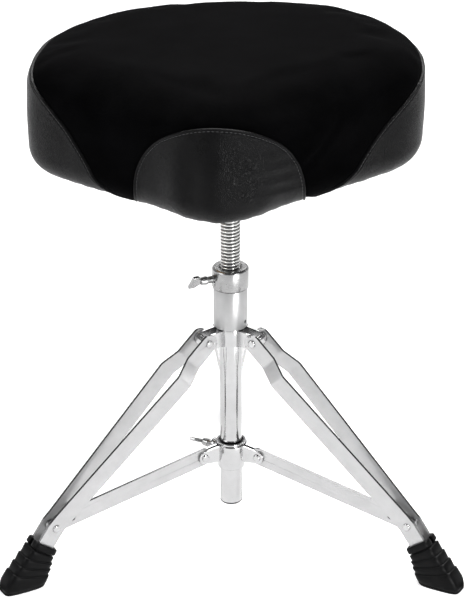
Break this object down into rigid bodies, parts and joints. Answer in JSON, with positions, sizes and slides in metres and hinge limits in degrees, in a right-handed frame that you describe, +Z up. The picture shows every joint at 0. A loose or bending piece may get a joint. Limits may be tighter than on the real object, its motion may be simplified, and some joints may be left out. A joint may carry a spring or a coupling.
{
  "type": "drum throne",
  "caption": "Drum throne with a padded saddle seat on a threaded spindle, held by a folding braced tripod with rubber feet.",
  "frame": {"origin": "on the centre tube's axis, at floor level", "axes": "+Z up along the centre tube; the nose of the seat points along -Y; the rear leg along +Y"},
  "size_m": [0.5348, 0.4879, 0.584],
  "materials": {
    "chrome": "polished",
    "machined_steel": "satin",
    "thread_steel": "satin",
    "dark_steel": "satin",
    "rubber": "matte",
    "plug_plastic": "satin",
    "velour": "matte",
    "leatherette": "satin",
    "foam": "matte",
    "board_wood": "matte",
    "dust_cloth": "matte"
  },
  "bodies": {
    "column": {"centre_tube": "chrome", "column_sleeve": "chrome", "upper_bracket_front": "chrome", "upper_bracket_right": "chrome", "upper_bracket_left": "chrome", "left_leg_pivot_rivet": "chrome", "right_leg_pivot_rivet": "chrome", "rear_leg_pivot_rivet": "chrome", "height_nut": "machined_steel", "tube_plug": "plug_plastic", "sleeve_screw": "dark_steel"},
    "collar": {"collar_sleeve": "chrome", "collar_lip": "chrome", "collar_segment_front": "chrome", "collar_segment_right": "chrome", "collar_segment_left": "chrome", "left_stay_rivet": "chrome", "right_stay_rivet": "chrome", "rear_stay_rivet": "chrome", "collar_boss_nut": "machined_steel"},
    "left_leg": {"left_leg_front_strap": "chrome", "left_leg_back_strap": "chrome", "left_foot_rivet": "chrome", "left_foot_spacers": "chrome", "left_rubber_foot": "rubber"},
    "left_stay_arm": {"left_stay": "chrome"},
    "right_leg": {"right_leg_back_strap": "chrome", "right_leg_front_strap": "chrome", "right_foot_rivet": "chrome", "right_foot_spacers": "chrome", "right_rubber_foot": "rubber"},
    "right_stay_arm": {"right_stay": "chrome"},
    "rear_leg": {"rear_leg_left_strap": "chrome", "rear_leg_right_strap": "chrome", "rear_foot_rivet": "chrome", "rear_foot_spacers": "chrome", "rear_rubber_foot": "rubber"},
    "rear_stay_arm": {"rear_stay": "chrome"},
    "upper_wing": {"upper_wing_bolt": "machined_steel"},
    "lower_wing": {"lower_wing_bolt": "machined_steel"},
    "spindle": {"threaded_spindle": "thread_steel"},
    "seat": {"top_cover": "velour", "side_band_cover": "leatherette", "nose_cover": "leatherette", "cushion_foam": "foam", "seat_board": "board_wood", "dust_cover": "dust_cloth", "seat_plate": "dark_steel", "seat_socket": "dark_steel", "clamp_nut": "dark_steel", "seat_screws": "dark_steel", "seat_washers": "dark_steel", "board_inserts": "dark_steel", "clamp_bolt": "machined_steel"}
  },
  "joints": [
    {"name": "left_leg_fold", "type": "hinge", "parent": "column", "child": "left_leg", "pos_m": [-0.02944, -0.017, 0.248], "axis": [0.5, -0.866, 0], "range_deg": [0, 36]},
    {"name": "right_leg_fold", "type": "hinge", "parent": "column", "child": "right_leg", "pos_m": [0.02944, -0.017, 0.248], "axis": [0.5, 0.866, 0], "range_deg": [0, 36]},
    {"name": "rear_leg_fold", "type": "hinge", "parent": "column", "child": "rear_leg", "pos_m": [0, 0.034, 0.248], "axis": [-1, 0, 0], "range_deg": [0, 36]},
    {"name": "collar_slide", "type": "slide", "parent": "column", "child": "collar", "axis": [0, 0, 1], "range_m": [0, 0.06532]},
    {"name": "left_stay_fold", "type": "hinge", "parent": "collar", "child": "left_stay_arm", "pos_m": [-0.03118, -0.018, 0.1002], "axis": [0.5, -0.866, 0], "range_deg": [0, 65.39]},
    {"name": "right_stay_fold", "type": "hinge", "parent": "collar", "child": "right_stay_arm", "pos_m": [0.03118, -0.018, 0.1002], "axis": [0.5, 0.866, 0], "range_deg": [0, 65.39]},
    {"name": "rear_stay_fold", "type": "hinge", "parent": "collar", "child": "rear_stay_arm", "pos_m": [0, 0.036, 0.1002], "axis": [-1, 0, 0], "range_deg": [0, 65.39]},
    {"name": "seat_height", "type": "slide", "parent": "column", "child": "spindle", "axis": [0, 0, 1], "range_m": [-0.0641, 0.0601]},
    {"name": "seat_turn", "type": "hinge", "parent": "spindle", "child": "seat", "pos_m": [0, 0, 0.43], "axis": [0, 0, 1], "range_deg": [-5760, 5400]},
    {"name": "upper_wing_turn", "type": "hinge", "parent": "column", "child": "upper_wing", "pos_m": [-0.02782, -0.01124, 0.3185], "axis": [-0.9272, -0.3746, 0], "continuous": true},
    {"name": "lower_wing_turn", "type": "hinge", "parent": "collar", "child": "lower_wing", "pos_m": [-0.02598, 0.015, 0.1002], "axis": [-0.866, 0.5, 0], "continuous": true}
  ],
  "couplings": [
    {"joint": "right_leg_fold", "follows": "left_leg_fold", "ratio": 1},
    {"joint": "rear_leg_fold", "follows": "left_leg_fold", "ratio": 1},
    {"joint": "collar_slide", "follows": "left_leg_fold", "m_per_rad": 0.1038},
    {"joint": "left_stay_fold", "follows": "left_leg_fold", "ratio": 1.815},
    {"joint": "right_stay_fold", "follows": "left_leg_fold", "ratio": 1.815},
    {"joint": "rear_stay_fold", "follows": "left_leg_fold", "ratio": 1.815},
    {"joint": "seat_height", "follows": "seat_turn", "m_per_rad": 0.00063662}
  ]
}
